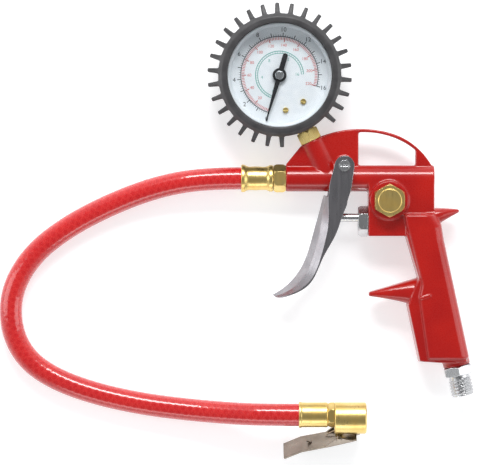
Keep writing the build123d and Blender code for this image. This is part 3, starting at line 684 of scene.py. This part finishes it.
def band(start, end, radius, width, steps=120):
    """An arc of a printed line, in short overlapping pieces that each stay convex."""
    pieces = []
    for step in range(steps):
        first, last = (scale_angle(start + (end - start) * (step + more) / steps) for more in (0, 1))
        corners = [on_dial(radius - width / 2, first), on_dial(radius - width / 2, last),
                   on_dial(radius + width / 2, last), on_dial(radius + width / 2, first)]
        pieces.append([(corner.x, corner.y) for corner in corners])
    return pieces


def figures(name, labels, radius, size, material):
    """Numbers standing upright on the dial, each centred on its mark's line."""
    whole = bmesh.new()
    for text, share in labels:
        curve = bpy.data.curves.new("figure", "FONT")
        curve.body = text
        curve.size = size
        curve.align_x = "CENTER"
        curve.align_y = "CENTER"
        curve.extrude = INK / 2
        curve.resolution_u = 3
        obj = bpy.data.objects.new("figure", curve)
        scene.collection.objects.link(obj)
        mesh = applied(obj)
        bpy.data.curves.remove(curve)
        place = on_dial(radius, scale_angle(share), INK / 2)
        mesh.transform(Matrix.Translation(place))
        whole.from_mesh(mesh)
        bpy.data.meshes.remove(mesh)
    mesh = bpy.data.meshes.new(name)
    whole.to_mesh(mesh)
    whole.free()
    return piece(name, mesh, material, "root")


BAR_STEPS, BAR_R = 80, 0.0216
bars = [tick(step / BAR_STEPS, BAR_R, 0.0227, 0.00020) for step in range(BAR_STEPS + 1)]
bars += [tick(step / 16, 0.0214, 0.0237, 0.00042) for step in range(17)]
bars += band(0, 1, BAR_R, 0.00042)
piece("bar_scale", raised("bar_scale", bars), ink_black, "root")
PSI_STEPS, PSI_R = 110, 0.0212
psi = [tick(step / PSI_STEPS, 0.0196, PSI_R, 0.00034) for step in range(PSI_STEPS + 1)]
psi += [tick(step / 11, 0.0186, PSI_R, 0.00050) for step in range(12)]
piece("psi_scale", raised("psi_scale", psi), ink_red, "root")
INNER_START, INNER_END, INNER_STEPS = 0.02, 0.93, 40  # shares of the whole scale, and the marks between
SMALL_R, LARGE_R = 0.0122, 0.0134  # of the two inner rings
span = INNER_END - INNER_START
rings = band(INNER_START, INNER_END, LARGE_R, 0.00042) + band(INNER_START, INNER_END, SMALL_R, 0.00036)
for step in range(INNER_STEPS + 1):
    rings.append(tick(INNER_START + span * step / INNER_STEPS, SMALL_R, LARGE_R, 0.00016))
piece("inner_rings", raised("inner_rings", rings), ink_green, "root")
bar_labels = [(str(2 * step), step / 8) for step in range(9)]
psi_labels = [(str(20 * step), step / 11) for step in range(12)]
inner_labels = [(str(4 * step), INNER_START + span * step / 4) for step in range(5)]
figures("bar_figures", bar_labels, 0.0254, 0.0034, ink_black)
figures("psi_figures", psi_labels, 0.0168, 0.0023, ink_red)
figures("inner_figures", inner_labels, 0.0098, 0.0024, ink_green)

# ---- floor and light -----------------------------------------------------------------------
floor_graph = Graph("floor")
floor_graph.set(
    Base_Color=rgb(0.66, 0.66, 0.665), Roughness=0.9, Specular_IOR_Level=0.1,
    Emission_Color=rgb(0.98, 0.99, 1.0), Emission_Strength=0.56,
)
FLOOR_HALF, FLOOR_Z = 2.0, -0.0002
floor_corners = [(FLOOR_HALF * x, FLOOR_HALF * y, FLOOR_Z) for x, y in ((-1, -1), (1, -1), (1, 1), (-1, 1))]
floor = bpy.data.objects.new("floor", from_faces("floor", floor_corners, [(0, 1, 2, 3)]))
floor.data.materials.append(floor_graph.material)
scene.collection.objects.link(floor)
floor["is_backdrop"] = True


def softbox(name, place, aim, size, power):
    data = bpy.data.lights.new(name, "AREA")
    data.shape = "RECTANGLE"
    data.size, data.size_y = size
    data.energy = power
    lamp = bpy.data.objects.new(name, data)
    scene.collection.objects.link(lamp)
    lamp.location = place
    lamp.rotation_mode = "QUATERNION"
    lamp.rotation_quaternion = (Vector(aim) - Vector(place)).to_track_quat("-Z", "Y")


target = (view_centre.x, view_centre.y, 0.0)
softbox("key", (view_centre.x + 0.05, view_centre.y + 0.85, 0.80), target, (0.8, 0.3), 12)
softbox("left", (view_centre.x - 0.95, view_centre.y + 0.10, 0.55), target, (0.5, 0.9), 3.2)
softbox("right", (view_centre.x + 0.95, view_centre.y - 0.1, 0.55), target, (0.5, 0.9), 2.4)
softbox("front", (view_centre.x, view_centre.y - 0.95, 0.50), target, (1.0, 0.3), 2.0)

# the sky is dimmer straight overhead, so upward faces keep their depth
world = bpy.data.worlds.new("studio")
scene.world = world
world.use_nodes = True
tree = world.node_tree
sky = tree.nodes["Background"]
direction = tree.nodes.new("ShaderNodeTexCoord")
split = tree.nodes.new("ShaderNodeSeparateXYZ")
fade = tree.nodes.new("ShaderNodeMapRange")
tree.links.new(direction.outputs["Generated"], split.inputs[0])
tree.links.new(split.outputs[2], fade.inputs["Value"])
fade.inputs["From Min"].default_value = 0.15
fade.inputs["From Max"].default_value = 0.75
fade.inputs["To Min"].default_value = 1.0
fade.inputs["To Max"].default_value = 0.24
tree.links.new(fade.outputs[0], sky.inputs["Strength"])
sky.inputs["Color"].default_value = (0.97, 0.985, 1.0, 1.0)
scene.view_settings.view_transform = "Standard"

# ---- size ----------------------------------------------------------------------------------
low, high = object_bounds()
